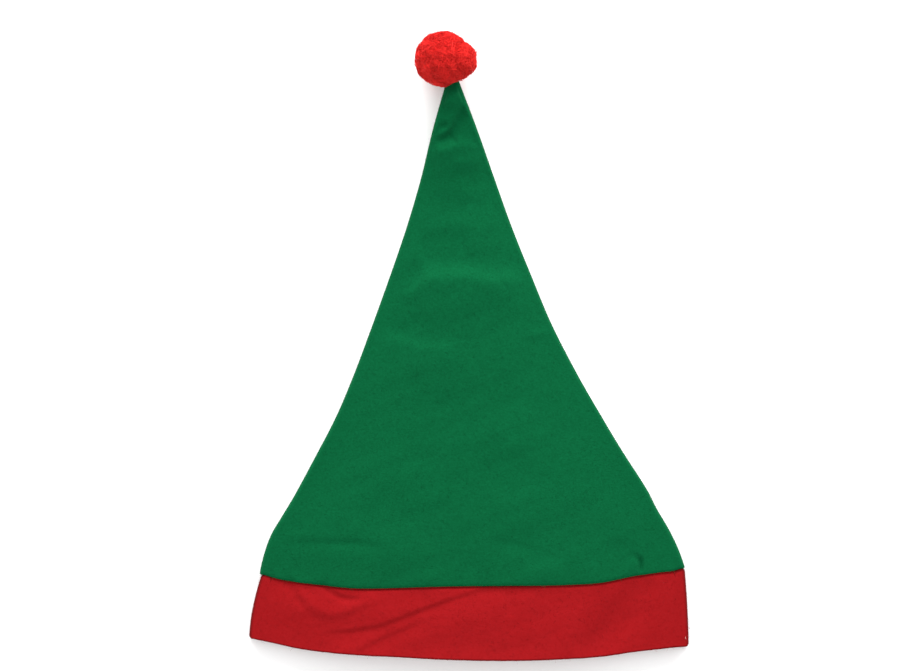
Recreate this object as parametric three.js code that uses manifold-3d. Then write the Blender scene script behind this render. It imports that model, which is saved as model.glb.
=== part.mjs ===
// An elf hat of thin felt, lying flat on its back. Two green panels make the crown and two red
// strips the band. They are sewn together inside out and turned, so the felt rolls in at both
// sides, and the band is tucked up behind the crown's lower edge. A yarn pompom holds the tip.
// Millimetres, +Z up, +Y from the mouth to the tip, origin on the table under the hat's middle.
import * as THREE from "three";
import { mergeVertices } from "three/addons/utils/BufferGeometryUtils.js";
import Module from "manifold-3d";

const wasm = await Module();
wasm.setup();

// Driving dimensions of the felt, flat widths being half the way round
const mouthWidth = 290; // across the hem
const seamWidth = 279; // where the crown meets the band
const tipWidth = 7.4; // at the end that the pompom hides
const crownHeight = 334; // seam to tip, up the middle
const bandHeight = 47.7; // seam to hem, down the middle
const seamRise = 11.2; // right end of the seam above its middle
const hemRise = 14.4; // left end of the hem above its middle
const tipLean = -13.6; // tip beside the middle of the seam
const hemShift = -2.8; // middle of the hem beside the middle of the seam
const feltThickness = 1.5;
const clearance = 0.3; // left between pieces that are sewn together

// Driving dimensions of the seams
const turnHeight = 4; // thickness of one layer's rolled edge at the side seams
const sideAllowance = 6; // felt turned in at the side seams
const bandLap = 8; // band hidden behind the crown's lower edge
const lapRamp = 4; // length in which the band comes level with the crown, below the seam

// Driving dimensions of how the hat lies
const mouthPuff = 14; // front layer above its side seams, at the hem
const foldHeight = 2.3; // the highest fold
const tipRise = 85; // length of the crown that lifts off the table to reach the pompom

// Driving dimensions of the pompom
const pompomWidth = 40.5;
const pompomShift = -4.9; // its middle beside the tip
const lobeShift = 7; // middle of its smaller lobe beside its own
const lobeWidth = 26.6;
const tipTuck = 8.2; // depth of the tip in it
const tipDrop = 5.3; // middle of the tip below its middle
const lockCount = 60;
const lockWidth = 7.4; // a lock of yarn where it leaves the core

// Colours from the felt and the yarn
const greenFelt = new THREE.MeshStandardMaterial({ color: "#0e693e", roughness: 0.95, metalness: 0 });
const redFelt = new THREE.MeshStandardMaterial({ color: "#aa191d", roughness: 0.95, metalness: 0 });
const redYarn = new THREE.MeshStandardMaterial({ color: "#d02522", roughness: 0.9, metalness: 0 });

// Heights run from -1 at the hem through 0 at the seam to 1 at the tip.

// Side edges of the crown: shares of the way from half the tip's width to half the seam's
const crownOutline = [
  { height: 0, left: 1.012, right: 1.003 },
  { height: 0.04, left: 0.985, right: 0.972 },
  { height: 0.08, left: 0.946, right: 0.93 },
  { height: 0.12, left: 0.885, right: 0.878 },
  { height: 0.16, left: 0.824, right: 0.834 },
  { height: 0.24, left: 0.713, right: 0.721 },
  { height: 0.32, left: 0.606, right: 0.616 },
  { height: 0.4, left: 0.517, right: 0.516 },
  { height: 0.5, left: 0.417, right: 0.405 },
  { height: 0.6, left: 0.321, right: 0.316 },
  { height: 0.7, left: 0.229, right: 0.231 },
  { height: 0.8, left: 0.148, right: 0.156 },
  { height: 0.9, left: 0.079, right: 0.081 },
  { height: 1, left: 0, right: 0 },
];

// Rise of the seam and the hem above their middles, across the hat from its left edge at -1 to
// its right edge at 1: shares of seamRise and of hemRise
const edgeCurves = [
  { across: -1, seam: 0.79, hem: 0.97 },
  { across: -0.9, seam: 0.43, hem: 0.765 },
  { across: -0.75, seam: 0.165, hem: 0.46 },
  { across: -0.55, seam: -0.07, hem: 0.262 },
  { across: -0.35, seam: -0.03, hem: 0.163 },
  { across: -0.1, seam: 0.07, hem: 0.045 },
  { across: 0.15, seam: 0.1, hem: -0.01 },
  { across: 0.4, seam: 0.12, hem: 0.035 },
  { across: 0.6, seam: 0.255, hem: 0.15 },
  { across: 0.75, seam: 0.61, hem: 0.347 },
  { across: 0.88, seam: 0.85, hem: 0.48 },
  { across: 0.94, seam: 0.93, hem: 0.54 },
  { across: 1, seam: 1.17, hem: 0.575 },
];

// How far the front layer stands over its side seams down its middle: shares of mouthPuff
const puffProfile = [
  { height: -1, puff: 1 },
  { height: -0.8, puff: 0.92 },
  { height: -0.4, puff: 0.83 },
  { height: 0, puff: 0.75 },
  { height: 0.25, puff: 0.56 },
  { height: 0.5, puff: 0.36 },
  { height: 0.65, puff: 0.23 },
  { height: 0.8, puff: 0.14 },
  { height: 0.9, puff: 0.06 },
  { height: 1, puff: 0 },
];

// Folds of the front layer, each along a line that runs from one place to another and bows to its
// left by a share of its own length. Widths to the left and the right of the line are shares of
// bandHeight and rises are shares of foldHeight, negative in a valley.
const folds = [
  { across: -0.72, height: 0.57, toAcross: 0.99, toHeight: 0.59, bow: 0.07, left: 0.19, right: 0.25, rise: 1 },
  { across: -0.83, height: 0.59, toAcross: 1.06, toHeight: 0.58, bow: 0, left: 0.19, right: 0.88, rise: 0.7 },
  { across: -0.93, height: 0.48, toAcross: 0.07, toHeight: 0.48, bow: -0.1, left: 0.1, right: 0.55, rise: 0.7 },
  { across: -1.11, height: 0.55, toAcross: -0.5, toHeight: 0.53, bow: 0, left: 0.29, right: 0.17, rise: 0.3 },
  { across: -0.92, height: 0.85, toAcross: 1.01, toHeight: 0.85, bow: 0.06, left: 0.1, right: 0.21, rise: 0.7 },
  { across: -0.8, height: 0.88, toAcross: 1, toHeight: 0.95, bow: -0.12, left: 0.1, right: 0.1, rise: -0.5 },
  { across: -0.85, height: 0.78, toAcross: 0.76, toHeight: 0.77, bow: 0.02, left: 0.15, right: 0.13, rise: 0.3 },
  { across: -0.6, height: 0.94, toAcross: 0.98, toHeight: 0.97, bow: 0, left: 0.1, right: 0.1, rise: 0.4 },
  { across: -1.17, height: 0.35, toAcross: -0.94, toHeight: 0.15, bow: 0, left: 0.5, right: 0.5, rise: -0.7 },
  { across: -0.94, height: 0.07, toAcross: -0.42, toHeight: 0.08, bow: 0.02, left: 0.1, right: 0.1, rise: -0.3 },
  { across: -1, height: 0.11, toAcross: -0.86, toHeight: 0.1, bow: 0, left: 0.1, right: 0.1, rise: -0.4 },
  { across: 0.24, height: 0.04, toAcross: 0.44, toHeight: 0.05, bow: 0.07, left: 0.15, right: 0.1, rise: 0.4 },
  { across: 0.64, height: 0.08, toAcross: 0.8, toHeight: 0.05, bow: 0.22, left: 0.1, right: 0.1, rise: -0.9 },
  { across: 0.8, height: 0.05, toAcross: 0.78, toHeight: -0.16, bow: 0, left: 0.1, right: 0.1, rise: -0.9 },
  { across: -0.84, height: 0.02, toAcross: -0.44, toHeight: -0.06, bow: -0.36, left: 0.13, right: 0.1, rise: 0.4 },
  { across: -0.73, height: 0.01, toAcross: -0.51, toHeight: -0.13, bow: -0.14, left: 0.1, right: 0.1, rise: -0.3 },
  { across: -0.68, height: -0.75, toAcross: 0.11, toHeight: -0.02, bow: -0.04, left: 0.1, right: 0.14, rise: -0.4 },
  { across: -0.51, height: -0.98, toAcross: -0.2, toHeight: -0.47, bow: 0, left: 0.1, right: 0.13, rise: -0.3 },
  { across: 0.85, height: -0.11, toAcross: 0.53, toHeight: -0.94, bow: 0, left: 0.21, right: 0.25, rise: -0.7 },
  { across: 0.82, height: -0.35, toAcross: 0.68, toHeight: -0.8, bow: 0, left: 0.1, right: 0.13, rise: -0.2 },
];

const mix = THREE.MathUtils.lerp;
const clamp = THREE.MathUtils.clamp;
const smoothstep = THREE.MathUtils.smoothstep;

// A column's value between two rows of a table, on a cubic through the rows, level past its ends.
function tableValue(rows, key, column, at) {
  const last = rows.length - 1;
  if (at <= rows[0][key]) return rows[0][column];
  if (at >= rows[last][key]) return rows[last][column];
  const next = rows.findIndex((row) => row[key] > at);
  const slopeAt = (n) => {
    const before = rows[Math.max(n - 1, 0)];
    const after = rows[Math.min(n + 1, last)];
    return (after[column] - before[column]) / (after[key] - before[key]);
  };
  const [low, high] = [rows[next - 1], rows[next]];
  const length = high[key] - low[key];
  const t = (at - low[key]) / length;
  const rise = t * t * (3 - 2 * t);
  const leaving = t * (1 - t) ** 2 * slopeAt(next - 1) * length;
  const arriving = t * t * (t - 1) * slopeAt(next) * length;
  return mix(low[column], high[column], rise) + leaving + arriving;
}

// The band flares out from the seam to the hem, fastest under the seam.
const flarePower = 1.7;
const flareAt = (height) => 1 - clamp(1 + height, 0, 1) ** flarePower;

const axisAt = (height) => (height > 0 ? tipLean * height : hemShift * flareAt(height));

// Half the flat width on one side of the axis
function halfWidthAt(height, side) {
  if (height <= 0) return mix(seamWidth / 2, mouthWidth / 2, flareAt(height));
  const share = tableValue(crownOutline, "height", side < 0 ? "left" : "right", height);
  return mix(tipWidth / 2, seamWidth / 2, share);
}

// Distance up the hat, at a place across it
function upAt(across, height) {
  const seam = seamRise * tableValue(edgeCurves, "across", "seam", across);
  const hem = hemRise * tableValue(edgeCurves, "across", "hem", across) - bandHeight;
  return height > 0 ? mix(seam, crownHeight, height) : mix(seam, hem, -height);
}

function planPoint(across, height) {
  const x = axisAt(height) + across * halfWidthAt(height, across);
  return new THREE.Vector2(x, upAt(across, height));
}

// Lift of both layers off the table, where the pompom holds the tip up
const tipLift = pompomWidth / 2 - tipDrop - turnHeight;
const liftAt = (height) => tipLift * smoothstep(height, 1 - tipRise / crownHeight, 1);

// Height of one fold at a point of the plan: a bump across its line, faded to nothing at its ends
function foldAt(fold, point) {
  const start = planPoint(fold.across, fold.height);
  const line = planPoint(fold.toAcross, fold.toHeight).sub(start);
  const length = line.length();
  const from = point.clone().sub(start);
  const along = clamp(from.dot(line) / length ** 2, 0, 1);
  const bowed = 4 * along * (1 - along) * fold.bow * length;
  const distance = line.cross(from) / length - bowed;
  const width = bandHeight * (distance > 0 ? fold.left : fold.right);
  const fade = 1 - (2 * along - 1) ** 4;
  return foldHeight * fold.rise * fade * Math.exp(-((distance / width) ** 2));
}

// Height of the front layer above its shoulders, which its puff and folds leave level
const puffPower = 1.5;
const foldPower = 6; // folds keep their height nearer to the shoulders than the puff does
function reliefAt(station, height, point) {
  const fullness = (1 - station ** 2) ** puffPower;
  const puff = mouthPuff * tableValue(puffProfile, "height", "puff", height) * fullness;
  const folded = folds.reduce((sum, fold) => sum + foldAt(fold, point), 0);
  return puff + folded * (1 - station ** foldPower);
}

// A point of the hat's outer skin. The station runs across a layer: from -1 to 1 between its
// shoulders, on to 2 round the rolled edge to the side seam, and on to 3 along the felt turned in.
const turnRadius = turnHeight / 2;
const allowanceShare = 0.4; // most of a layer's half width that is turned in, near the tip
function skinPoint(layer, station, height) {
  const side = station < 0 ? -1 : 1;
  const reach = Math.abs(station);
  const half = halfWidthAt(height, side);
  const shoulder = half - turnRadius;
  const turn = Math.PI * clamp(reach - 1, 0, 1);
  const allowance = Math.min(sideAllowance, allowanceShare * shoulder);
  const turnedIn = allowance * Math.max(reach - 2, 0);
  const flat = shoulder * Math.min(reach, 1);
  const plan = planPoint((side * flat) / half, height);
  const x = plan.x + side * (turnRadius * Math.sin(turn) - turnedIn);
  const rolled = turnRadius * (1 - Math.cos(turn));
  if (layer === "back") return new THREE.Vector3(x, plan.y, liftAt(height) + rolled);
  const relief = reach < 1 ? reliefAt(station, height, plan) : 0;
  const top = 2 * turnHeight + clearance;
  return new THREE.Vector3(x, plan.y, liftAt(height) + top - rolled + relief);
}

// A point under the skin by a depth, square to it in the cross section through that point
function skinDepth(layer, station, height, depth) {
  const step = 1e-3;
  const alongSkin = skinPoint(layer, station + step, height).sub(skinPoint(layer, station - step, height));
  const inward = new THREE.Vector3(-alongSkin.z, 0, alongSkin.x).normalize();
  const signedDepth = layer === "back" ? depth : -depth;
  return skinPoint(layer, station, height).addScaledVector(inward, signedDepth);
}

function meshOf(points, faces) {
  const geometry = new THREE.BufferGeometry().setFromPoints(points);
  return geometry.setIndex(faces);
}

const quad = (a, b, c, d) => [a, b, c, a, c, d];

// A wall of felt over a grid of stations and heights. Its outer face lies under the skin by
// depthAt(station, height), and a cell is cut away where isFelt(station, height) is false at its middle.
function feltWall(layer, stations, heights, depthAt, isFelt) {
  const points = [];
  for (const thickness of [0, feltThickness]) {
    for (const height of heights) {
      for (const station of stations) {
        const depth = depthAt(station, height) + thickness;
        points.push(skinDepth(layer, station, height, depth));
      }
    }
  }
  const across = stations.length;
  const corner = (i, j, wall) => (wall * heights.length + j) * across + i;
  const cell = (i, j) =>
    i >= 0 && j >= 0 && i < across - 1 && j < heights.length - 1 &&
    isFelt((stations[i] + stations[i + 1]) / 2, (heights[j] + heights[j + 1]) / 2);
  const faces = [];
  const face = (a, b, c, d) => faces.push(...(layer === "back" ? quad(d, c, b, a) : quad(a, b, c, d)));
  const edge = (a, b) => face(corner(...a, 1), corner(...b, 1), corner(...b, 0), corner(...a, 0));
  for (let j = 0; j < heights.length - 1; j++) {
    for (let i = 0; i < across - 1; i++) {
      if (!cell(i, j)) continue;
      face(corner(i, j, 0), corner(i + 1, j, 0), corner(i + 1, j + 1, 0), corner(i, j + 1, 0));
      face(corner(i + 1, j + 1, 1), corner(i + 1, j, 1), corner(i, j, 1), corner(i, j + 1, 1));
      if (!cell(i, j - 1)) edge([i, j], [i + 1, j]);
      if (!cell(i + 1, j)) edge([i + 1, j], [i + 1, j + 1]);
      if (!cell(i, j + 1)) edge([i + 1, j + 1], [i, j + 1]);
      if (!cell(i - 1, j)) edge([i, j + 1], [i, j]);
    }
  }
  return meshOf(points, faces);
}

const evenly = (from, to, count) => Array.from({ length: count + 1 }, (_, n) => mix(from, to, n / count));

// Stations across a layer: its turned-in felt and rolled edge on both sides of the flat
const rollSteps = 4;
function stationsAcross(flatSteps) {
  const rightEdge = [...evenly(1, 2, rollSteps).slice(1), 3];
  const leftEdge = rightEdge.map((station) => -station).reverse();
  return [...leftEdge, ...evenly(-1, 1, flatSteps), ...rightEdge];
}

const lapTop = bandLap / crownHeight;
const liftStart = 1 - tipRise / crownHeight;
function crownPanel(layer, flatSteps, bodySteps, liftSteps) {
  const body = evenly(lapTop, liftStart, bodySteps);
  const heights = [0, ...body, ...evenly(liftStart, 1, liftSteps).slice(1)];
  return feltWall(layer, stationsAcross(flatSteps), heights, () => 0, () => true);
}

// The band lies at the skin, then dips under it by the crown's felt to go behind the crown's edge.
// Its lap stops one step short of the shoulders, where the band ends below the crown's edge.
function bandStrip(layer, flatSteps, bodySteps) {
  const seamGap = clearance / bandHeight;
  const rampStart = lapRamp / bandHeight;
  const rampSteps = 3;
  const body = evenly(-1, -rampStart, bodySteps);
  const heights = [...body, ...evenly(-rampStart, -seamGap, rampSteps).slice(1), 0, lapTop];
  const lapEnd = 1 - 2 / flatSteps;
  const depthAt = (station, height) => {
    const dip = smoothstep(height, -rampStart, -seamGap);
    const inShoulders = 1 - smoothstep(Math.abs(station), lapEnd, 1);
    return (feltThickness + clearance) * dip * inShoulders;
  };
  const isFelt = (station, height) => height < -seamGap || Math.abs(station) < lapEnd;
  return feltWall(layer, stationsAcross(flatSteps), heights, depthAt, isFelt);
}

// A closed geometry as a solid that can be joined and cut, and back
function solidOf(geometry) {
  const bare = geometry.clone();
  bare.deleteAttribute("normal");
  bare.deleteAttribute("uv");
  const merged = mergeVertices(bare, 1e-4);
  return new wasm.Manifold(
    new wasm.Mesh({
      numProp: 3,
      vertProperties: new Float32Array(merged.attributes.position.array),
      triVerts: new Uint32Array(merged.index.array),
    }),
  );
}

function geometryOf(solid) {
  const mesh = solid.getMesh();
  const geometry = new THREE.BufferGeometry();
  geometry.setAttribute("position", new THREE.BufferAttribute(mesh.vertProperties, 3));
  geometry.setIndex(new THREE.BufferAttribute(mesh.triVerts, 1));
  return geometry;
}

// The room that the tip takes in the pompom: the outline of both layers, out by the clearance
function tipPlug() {
  const [lowest, highest] = [1 - (3 * tipTuck) / crownHeight, 1 + clearance / crownHeight];
  const heights = evenly(lowest, highest, 3);
  const halfRoll = 1.5;
  const stations = evenly(-halfRoll, halfRoll, 18);
  const ring = (height) => [
    ...stations.map((station) => skinDepth("back", station, height, -clearance)),
    ...stations.toReversed().map((station) => skinDepth("front", station, height, -clearance)),
  ];
  const points = heights.flatMap(ring);
  const around = 2 * stations.length;
  const faces = [];
  for (let j = 0; j < heights.length - 1; j++) {
    for (let i = 0; i < around; i++) {
      const next = (i + 1) % around;
      const row = j * around;
      faces.push(...quad(row + next, row + i, row + around + i, row + around + next));
    }
  }
  const lastRow = (heights.length - 1) * around;
  for (let i = 1; i < around - 1; i++) {
    faces.push(0, i, i + 1);
    faces.push(lastRow, lastRow + i + 1, lastRow + i);
  }
  return solidOf(meshOf(points, faces));
}

// Reach of the yarn from the pompom's middle in a direction: out to the farther surface of its two
// lobes, which are a ball round the middle and a smaller one beside and above it
const lobeRise = 0.5; // of lobeShift
const mainShare = 0.93; // of half the pompom's width
const lobes = [
  { middle: new THREE.Vector3(), radius: (mainShare * pompomWidth) / 2 },
  { middle: new THREE.Vector3(lobeShift, 0, lobeRise * lobeShift), radius: lobeWidth / 2 },
];
function yarnReach(direction) {
  const reaches = lobes.map(({ middle, radius }) => {
    const beside = direction.dot(middle);
    return beside + Math.sqrt(beside ** 2 - middle.lengthSq() + radius ** 2);
  });
  return Math.max(...reaches);
}

// A direction for each lock, spread evenly over a ball on a spiral
function spiralDirection(n, count) {
  const goldenAngle = Math.PI * (3 - Math.sqrt(5));
  const z = 1 - (2 * n + 1) / count;
  const radius = Math.sqrt(1 - z * z);
  return new THREE.Vector3(radius * Math.cos(n * goldenAngle), radius * Math.sin(n * goldenAngle), z);
}

// One blunt lock of yarn from inside the core to the pompom's surface: its half width in shares of
// lockWidth, at shares of the reach
const lockProfile = [
  { half: 0, along: 0.5 },
  { half: 0.5, along: 0.5 },
  { half: 0.42, along: 0.9 },
  { half: 0.24, along: 0.975 },
  { half: 0, along: 1 },
];
function yarnLock(direction) {
  const reach = yarnReach(direction);
  const profile = lockProfile.map((row) => new THREE.Vector2(row.half * lockWidth, row.along * reach));
  const lock = new THREE.LatheGeometry(profile, 6);
  const upright = new THREE.Vector3(0, 1, 0);
  lock.applyQuaternion(new THREE.Quaternion().setFromUnitVectors(upright, direction));
  return solidOf(lock);
}

// The pompom: a core and its locks in one piece, stood on the table, with a socket for the tip
const coreShare = 0.8; // of the pompom's width
function pompomBall() {
  const core = solidOf(new THREE.IcosahedronGeometry((coreShare * pompomWidth) / 2, 3));
  const locks = Array.from({ length: lockCount }, (_, n) => yarnLock(spiralDirection(n, lockCount)));
  const ball = wasm.Manifold.union([core, ...locks]);
  const x = tipLean + pompomShift;
  const y = crownHeight - tipTuck + pompomWidth / 2;
  const z = -ball.boundingBox().min[2];
  return geometryOf(ball.translate([x, y, z]).subtract(tipPlug()));
}

function addPiece(name, geometry, material) {
  const piece = new THREE.Mesh(geometry, material);
  piece.name = name;
  hat.add(piece);
}

// Steps across each layer, the same in crown and band so that their facets match at the lap
const frontSteps = 20;
const backSteps = 10;

const hat = new THREE.Group();
addPiece("crown_front", crownPanel("front", frontSteps, 24, 6), greenFelt);
addPiece("crown_back", crownPanel("back", backSteps, 10, 6), greenFelt);
addPiece("band_front", bandStrip("front", frontSteps, 6), redFelt);
addPiece("band_back", bandStrip("back", backSteps, 2), redFelt);
addPiece("pompom", pompomBall(), redYarn);

const middle = new THREE.Box3().setFromObject(hat).getCenter(new THREE.Vector3());
hat.position.set(-middle.x, -middle.y, 0);

export default hat;
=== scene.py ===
import bpy
import numpy as np
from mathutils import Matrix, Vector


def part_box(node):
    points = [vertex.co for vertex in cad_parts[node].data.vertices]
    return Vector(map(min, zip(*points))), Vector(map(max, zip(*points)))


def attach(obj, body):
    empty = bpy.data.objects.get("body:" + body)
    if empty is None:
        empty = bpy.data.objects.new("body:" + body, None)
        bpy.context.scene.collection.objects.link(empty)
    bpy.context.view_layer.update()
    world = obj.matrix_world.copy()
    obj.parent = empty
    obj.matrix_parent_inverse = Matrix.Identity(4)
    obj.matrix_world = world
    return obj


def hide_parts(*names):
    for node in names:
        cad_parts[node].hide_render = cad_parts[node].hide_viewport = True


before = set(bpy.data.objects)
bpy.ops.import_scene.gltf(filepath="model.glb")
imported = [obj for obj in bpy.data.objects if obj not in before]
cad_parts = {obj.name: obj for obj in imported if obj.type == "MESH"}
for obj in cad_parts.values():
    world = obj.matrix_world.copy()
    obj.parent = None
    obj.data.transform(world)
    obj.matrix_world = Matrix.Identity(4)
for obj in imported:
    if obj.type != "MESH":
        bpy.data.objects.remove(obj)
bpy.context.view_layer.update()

# An elf hat of thin felt, lying flat: two green crown panels, two red band strips, a yarn pompom.
# Metres, +Y from the mouth to the tip, +Z up from the table.
print("frame:", ", ".join(sorted(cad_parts)))

# The hat's plan and lie, shared by its four felt pieces. Flat widths are half the way round.
hatPlan = {
    "mouthWidth": 0.290,
    "seamWidth": 0.279,
    "tipWidth": 0.0074,
    "crownHeight": 0.334,
    "bandHeight": 0.0477,
    "seamRise": 0.0112,  # right end of the seam above its middle
    "hemRise": 0.0144,  # left end of the hem above its middle
    "tipLean": -0.0136,  # tip beside the middle of the seam
    "hemShift": -0.0028,
    "felt": 0.0015,  # thickness
    "clearance": 0.0003,
    "turnHeight": 0.004,  # one layer's rolled edge at the side seams
    "sideAllowance": 0.006,  # felt turned in there
    "bandLap": 0.008,  # band behind the crown's lower edge
    "lapRamp": 0.022,  # length in which the band comes level with the crown
    "mouthPuff": 0.014,  # front layer above its side seams, at the hem
    "tipRise": 0.085,  # length of the crown that lifts off the table
    "tipMiddle": 0.0150,  # height of the tip's middle over the table
    "backProud": 0.0006,  # back layer's side edge beyond the front one's
    "cornerRound": 0.0014,  # rise of the hem's corners
    "cornerStart": -0.93,  # height from which they rise
    "flareBend": 1.7,  # power of the band's flare
    "puffBend": 1.5,  # power of the puff's fall to the shoulders
    "foldFade": 6,  # power of the folds' fade there
    "allowanceShare": 0.4,  # of half the width, the most that is turned in
    "turnedEnd": 2.95,  # station where the turned felt ends
}

# Heights run from -1 at the hem through 0 at the seam to 1 at the tip, and places across the hat
# from -1 at its left edge to 1 at its right. Side edges of the crown are shares of the way from
# half the tip's width to half the seam's.
crownOutline = {
    "height": (0, 0.04, 0.08, 0.12, 0.16, 0.24, 0.32, 0.4, 0.5, 0.6, 0.7, 0.8, 0.9, 1),
    "left": (1.012, 0.985, 0.946, 0.885, 0.824, 0.713, 0.606, 0.517, 0.417, 0.321, 0.229, 0.148,
             0.079, 0),
    "right": (1.003, 0.972, 0.93, 0.878, 0.834, 0.721, 0.616, 0.516, 0.405, 0.316, 0.231, 0.156,
              0.081, 0),
}
# Rise of the seam and the hem above their middles: shares of seamRise and hemRise
edgeCurves = {
    "across": (-1, -0.9, -0.75, -0.55, -0.35, -0.1, 0.15, 0.4, 0.6, 0.75, 0.88, 0.94, 1),
    "seam": (0.79, 0.43, 0.165, -0.07, -0.03, 0.07, 0.1, 0.12, 0.255, 0.61, 0.85, 0.93, 1.17),
    "hem": (0.97, 0.765, 0.46, 0.262, 0.163, 0.045, -0.01, 0.035, 0.15, 0.347, 0.48, 0.54, 0.575),
}
# How far the front layer stands over its side seams down its middle: shares of mouthPuff
puffProfile = {
    "height": (-1, -0.8, -0.4, 0, 0.25, 0.5, 0.65, 0.8, 0.9, 1),
    "puff": (1, 0.92, 0.83, 0.75, 0.56, 0.36, 0.23, 0.14, 0.06, 0),
}
# Folds of the front layer. Each follows a curve through places that are pairs of across and height.
# Then come its bell's widths to the curve's left and right and its rise, all in millimetres.
folds = [
    # A broad ridge across the crown's middle, and the swell behind it
    (((-0.771, 0.559), (-0.628, 0.583), (-0.447, 0.605), (-0.209, 0.61), (0.018, 0.606),
      (0.268, 0.597), (0.496, 0.591), (0.705, 0.592), (0.986, 0.583)), 7, 20, 1.82),
    (((-0.6, 0.603), (0.199, 0.599), (1.12, 0.578)), 9, 52, 2.03),
    (((-0.753, 0.563), (-0.617, 0.585), (-0.46, 0.604), (-0.269, 0.615)), 3, 4.5, 0.54),
    (((0.543, 0.62), (0.57, 0.602), (0.613, 0.579)), 1.8, 2.2, -0.47),
    (((0.048, 0.677), (0.546, 0.681), (1.039, 0.671)), 20, 10, 1.35),
    (((-1.158, 0.626), (-0.911, 0.643), (-0.588, 0.658)), 14, 9, 1.08),
    # A second ridge, lower on the left
    (((-1.085, 0.493), (-0.896, 0.483), (-0.712, 0.479), (-0.497, 0.47), (-0.29, 0.465),
      (-0.118, 0.468), (0.071, 0.479)), 5, 26, 1.49),
    (((-1.118, 0.548), (-0.902, 0.549), (-0.651, 0.543), (-0.495, 0.531)), 14, 8, 0.74),
    (((0.673, 0.487), (0.809, 0.485), (0.985, 0.486)), 3.2, 2.4, 0.81),
    # Creases and ridges by the tip
    (((-0.92, 0.85), (-0.556, 0.858), (-0.198, 0.861), (0.166, 0.865), (0.521, 0.864),
      (1.01, 0.851)), 4, 18, 1.55),
    (((-0.129, 0.831), (0.368, 0.834), (0.939, 0.838)), 4, 5, 0.61),
    (((-0.854, 0.776), (-0.182, 0.782), (0.761, 0.767)), 7, 6, 0.74),
    (((-0.848, 0.716), (-0.07, 0.71), (0.875, 0.703)), 8, 6, 0.47),
    (((-0.777, 0.872), (-0.448, 0.882), (-0.143, 0.891), (0.121, 0.909), (0.425, 0.929),
      (0.997, 0.953)), 3.4, 4.2, -3.38),
    (((-0.867, 0.885), (-0.473, 0.894), (-0.12, 0.91)), 1.5, 1.3, 0.68),
    (((-0.865, 0.903), (-0.596, 0.906), (-0.317, 0.911)), 2.2, 1.8, -1.76),
    (((-0.46, 0.928), (0.016, 0.943), (0.511, 0.967)), 3.5, 3, -1.08),
    (((-0.912, 0.951), (-0.349, 0.956), (0.328, 0.953)), 6, 3.2, 0.74),
    (((-0.253, 0.894), (-0.102, 0.884), (0.047, 0.872)), 1.7, 1.5, -0.68),
    (((-0.98, 0.95), (-0.03, 0.963), (1.383, 0.974)), 5, 9, 2.7),
    # Low on the crown, left
    (((-0.94, 0.072), (-0.888, 0.075), (-0.803, 0.079), (-0.684, 0.085), (-0.57, 0.087),
      (-0.416, 0.081)), 2.2, 5, -0.81),
    (((-1.005, 0.109), (-0.938, 0.106), (-0.863, 0.096)), 3.5, 4, -1.01),
    (((-1.169, 0.351), (-0.982, 0.232), (-0.944, 0.145)), 24, 24, -1.62),
    # Low on the crown, right
    (((0.095, 0.088), (0.17, 0.084), (0.252, 0.074), (0.338, 0.064)), 3, 5, -0.47),
    (((0.224, 0.019), (0.347, 0.028), (0.466, 0.025)), 7, 13, 0.81),
    (((-0.287, 0.014), (-0.193, 0.019), (-0.08, 0.014)), 6, 12, 0.54),
    (((0.637, 0.065), (0.697, 0.066), (0.75, 0.059), (0.782, 0.045),
      (0.8, 0.03)), 3.8, 3.8, -0.49),
    (((0.75, 0.041), (0.782, 0.039), (0.799, 0.03), (0.798, 0.014),
      (0.786, -0.112)), 2.0, 1.8, -1.15),
    (((0.659, 0.055), (0.709, 0.045), (0.741, 0.022)), 3, 4, -0.47),
    (((0.809, 0.037), (0.805, 0.024), (0.792, 0.005)), 1.25, 1.25, -2.36),
    # The band's mound on the left, and the crease in it
    (((-0.85, 0.023), (-0.839, -0.015), (-0.795, -0.188), (-0.734, -0.331), (-0.661, -0.403),
      (-0.586, -0.351), (-0.519, -0.226), (-0.443, -0.091)), 5.5, 3.6, 0.97),
    (((-0.736, 0.009), (-0.684, -0.053), (-0.626, -0.14), (-0.568, -0.172),
      (-0.515, -0.135)), 1.8, 2.3, -1.01),
    # The band's long crease, and the folds under it
    (((-0.679, -0.745), (-0.567, -0.682), (-0.5, -0.64), (-0.411, -0.582), (-0.323, -0.469),
      (-0.257, -0.383), (-0.146, -0.259), (-0.034, -0.145), (0.108, -0.02)), 1.9, 6, -1.08),
    (((-0.512, -0.981), (-0.423, -0.827), (-0.362, -0.719), (-0.296, -0.627),
      (-0.195, -0.474)), 2.2, 6, -0.81),
    (((-0.629, -1.041), (-0.53, -0.94), (-0.44, -0.911)), 4, 5, 0.47),
    # Soft folds of the band
    (((0.493, -0.962), (0.593, -0.739), (0.671, -0.527), (0.751, -0.314),
      (0.823, -0.021)), 11, 13, -2.84),
    (((-0.874, 0.014), (-0.857, -0.071), (-0.809, -0.256), (-0.76, -0.372)), 3.4, 3.0, -1.08),
    (((0.683, -0.801), (0.748, -0.591), (0.815, -0.353)), 5, 6, -0.47),
    (((0.15, -0.053), (0.177, -0.228), (0.176, -0.429)), 3, 3, -0.34),
    # Hollows just under the seam
    (((0.005, -0.052), (0.127, -0.047), (0.221, -0.048), (0.325, -0.048)), 1.2, 4, -0.68),
    (((-1.011, -0.035), (-0.93, -0.043), (-0.835, -0.06), (-0.725, -0.068)), 1.2, 4, -0.68),
]
millimetre = 1e-3

# Where the plan's own middle lies in the frame, from the crown's end and the band's middle
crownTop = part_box("crown_back")[1]
bandLow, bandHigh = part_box("band_back")
planShift = np.array([
    (bandLow.x + bandHigh.x) / 2 - hatPlan["hemShift"],
    crownTop.y - hatPlan["crownHeight"],
])


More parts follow.
